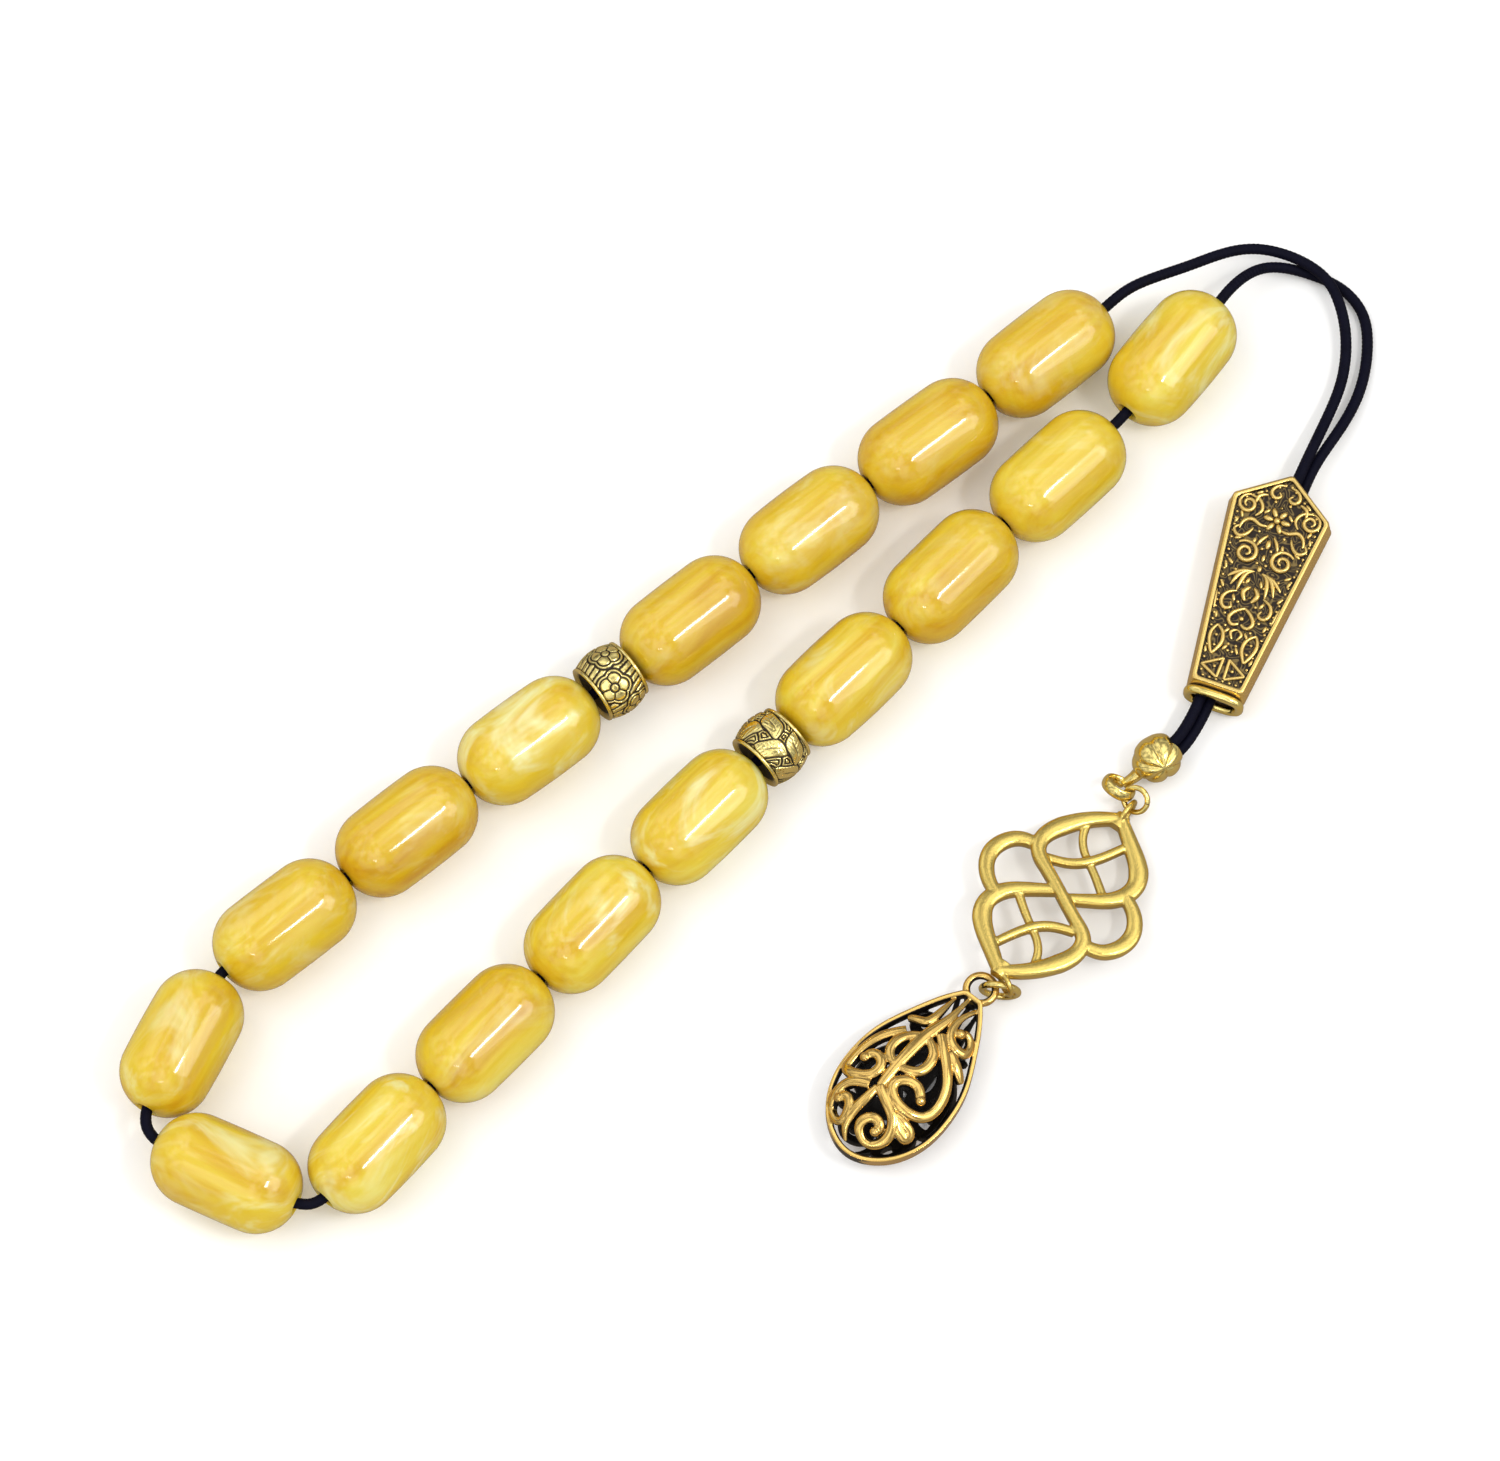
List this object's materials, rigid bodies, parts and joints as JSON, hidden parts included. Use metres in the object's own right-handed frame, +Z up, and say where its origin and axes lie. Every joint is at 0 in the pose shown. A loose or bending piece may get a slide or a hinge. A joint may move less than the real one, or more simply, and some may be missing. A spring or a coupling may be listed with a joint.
{
  "type": "misbaha prayer beads",
  "caption": "Loop of barrel-shaped marbled amber beads with metal spacers on a dark cord, closed by a relief leader bead and a tassel of openwork connector and filigree drop.",
  "frame": {"origin": "centre of the laid-out object's footprint, on the table", "axes": "+X along the bead loop towards its free strands, +Y across it away from the tassel, +Z up from the table"},
  "size_m": [0.1972, 0.0827, 0.012],
  "materials": {
    "amber_resin": "polished marbled amber-yellow resin",
    "cord": "dark navy satin cord",
    "antique_gold": "antique gold plate with dark recesses",
    "satin_gold": "matt satin gold plate",
    "bright_gold": "polished gold plate"
  },
  "bodies": {
    "loop": {"cord_loop": "cord"},
    "bead_01": {"bead_01": "amber_resin"},
    "bead_02": {"bead_02": "amber_resin"},
    "bead_03": {"bead_03": "amber_resin"},
    "bead_04": {"bead_04": "amber_resin"},
    "spacer_upper": {"spacer_upper": "antique_gold"},
    "bead_05": {"bead_05": "amber_resin"},
    "bead_06": {"bead_06": "amber_resin"},
    "bead_07": {"bead_07": "amber_resin"},
    "bead_08": {"bead_08": "amber_resin"},
    "bead_09": {"bead_09": "amber_resin"},
    "bead_10": {"bead_10": "amber_resin"},
    "bead_11": {"bead_11": "amber_resin"},
    "bead_12": {"bead_12": "amber_resin"},
    "bead_13": {"bead_13": "amber_resin"},
    "spacer_lower": {"spacer_lower": "antique_gold"},
    "bead_14": {"bead_14": "amber_resin"},
    "bead_15": {"bead_15": "amber_resin"},
    "bead_16": {"bead_16": "amber_resin"},
    "bead_17": {"bead_17": "amber_resin"},
    "neck": {"cord_neck": "cord"},
    "imame": {"imame": "antique_gold"},
    "tassel_top": {"cord_end": "cord", "end_knot": "cord", "knot_cover": "bright_gold"},
    "ring_upper": {"jump_ring_upper": "bright_gold"},
    "connector": {"connector": "satin_gold"},
    "ring_lower": {"jump_ring_lower": "bright_gold"},
    "pendant": {"pendant": "antique_gold"}
  },
  "joints": [
    {"name": "bead_01_slide", "type": "slide", "parent": "loop", "child": "bead_01", "axis": [0.9978, -0.0665, 0], "range_m": [0, 0.0018]},
    {"name": "bead_02_spin", "type": "hinge", "parent": "loop", "child": "bead_02", "pos_m": [0.04166, 0.02642, 0.006], "axis": [-0.995, 0.1001, 0], "continuous": true},
    {"name": "bead_03_spin", "type": "hinge", "parent": "loop", "child": "bead_03", "pos_m": [0.02194, 0.02816, 0.006], "axis": [-0.9971, 0.076, 0], "continuous": true},
    {"name": "bead_04_spin", "type": "hinge", "parent": "loop", "child": "bead_04", "pos_m": [0.00219, 0.02961, 0.006], "axis": [-0.9975, 0.0707, 0], "continuous": true},
    {"name": "spacer_upper_spin", "type": "hinge", "parent": "loop", "child": "spacer_upper", "pos_m": [-0.01097, 0.0306, 0.006], "axis": [-0.9963, 0.0859, 0], "continuous": true},
    {"name": "bead_05_spin", "type": "hinge", "parent": "loop", "child": "bead_05", "pos_m": [-0.02411, 0.03188, 0.006], "axis": [-0.9949, 0.1011, 0], "continuous": true},
    {"name": "bead_06_spin", "type": "hinge", "parent": "loop", "child": "bead_06", "pos_m": [-0.04383, 0.03358, 0.006], "axis": [-0.9975, 0.0706, 0], "continuous": true},
    {"name": "bead_07_spin", "type": "hinge", "parent": "loop", "child": "bead_07", "pos_m": [-0.06358, 0.03503, 0.006], "axis": [-0.9971, 0.0761, 0], "continuous": true},
    {"name": "bead_08_spin", "type": "hinge", "parent": "loop", "child": "bead_08", "pos_m": [-0.08365, 0.03228, 0.006], "axis": [-0.9397, -0.342, 0], "continuous": true},
    {"name": "bead_09_spin", "type": "hinge", "parent": "loop", "child": "bead_09", "pos_m": [-0.09103, 0.0157, 0.006], "axis": [0.3746, -0.9272, 0], "continuous": true},
    {"name": "bead_10_spin", "type": "hinge", "parent": "loop", "child": "bead_10", "pos_m": [-0.07468, 0.00558, 0.006], "axis": [0.9969, 0.0783, 0], "continuous": true},
    {"name": "bead_11_spin", "type": "hinge", "parent": "loop", "child": "bead_11", "pos_m": [-0.05493, 0.00688, 0.006], "axis": [0.9986, 0.0526, 0], "continuous": true},
    {"name": "bead_12_spin", "type": "hinge", "parent": "loop", "child": "bead_12", "pos_m": [-0.03517, 0.00815, 0.006], "axis": [0.9971, 0.0758, 0], "continuous": true},
    {"name": "bead_13_spin", "type": "hinge", "parent": "loop", "child": "bead_13", "pos_m": [-0.01541, 0.00931, 0.006], "axis": [0.9992, 0.041, 0], "continuous": true},
    {"name": "spacer_lower_spin", "type": "hinge", "parent": "loop", "child": "spacer_lower", "pos_m": [-0.00222, 0.00982, 0.006], "axis": [0.9994, 0.0333, 0], "continuous": true},
    {"name": "bead_14_spin", "type": "hinge", "parent": "loop", "child": "bead_14", "pos_m": [0.01098, 0.01019, 0.006], "axis": [0.9997, 0.0256, 0], "continuous": true},
    {"name": "bead_15_spin", "type": "hinge", "parent": "loop", "child": "bead_15", "pos_m": [0.03077, 0.01089, 0.006], "axis": [0.999, 0.0454, 0], "continuous": true},
    {"name": "bead_16_spin", "type": "hinge", "parent": "loop", "child": "bead_16", "pos_m": [0.05056, 0.01138, 0.006], "axis": [1, 0.0042, 0], "continuous": true},
    {"name": "bead_17_slide", "type": "slide", "parent": "loop", "child": "bead_17", "axis": [0.9903, 0.1392, 0], "range_m": [-0.0026, 0.0025]},
    {"name": "neck_bend", "type": "hinge", "parent": "loop", "child": "neck", "pos_m": [0.09659, 0.00947, 0.0018], "axis": [0, 0, 1], "range_deg": [-8, 45]},
    {"name": "imame_slide", "type": "slide", "parent": "neck", "child": "imame", "axis": [-0.9225, -0.3859, 0], "range_m": [-0.003, 0.0015]},
    {"name": "tassel_bend", "type": "hinge", "parent": "neck", "child": "tassel_top", "pos_m": [0.04075, -0.02427, 0.0032], "axis": [0, 0, -1], "range_deg": [-20, 12]},
    {"name": "upper_ring_swing", "type": "hinge", "parent": "tassel_top", "child": "ring_upper", "pos_m": [0.02748, -0.02586, 0.0026], "axis": [-0.6358, -0.0942, 0.766], "range_deg": [-12, 12]},
    {"name": "connector_swing", "type": "hinge", "parent": "ring_upper", "child": "connector", "pos_m": [0.02636, -0.02681, 0.00156], "axis": [0, 0, 1], "range_deg": [-15, 8]},
    {"name": "lower_ring_swing", "type": "hinge", "parent": "connector", "child": "ring_lower", "pos_m": [-0.00241, -0.03352, 0.00486], "axis": [0, 0, 1], "range_deg": [-6, 8]},
    {"name": "pendant_swing", "type": "hinge", "parent": "ring_lower", "child": "pendant", "pos_m": [-0.00426, -0.03152, 0.00375], "axis": [0, 0, 1], "range_deg": [-15, 15]}
  ]
}
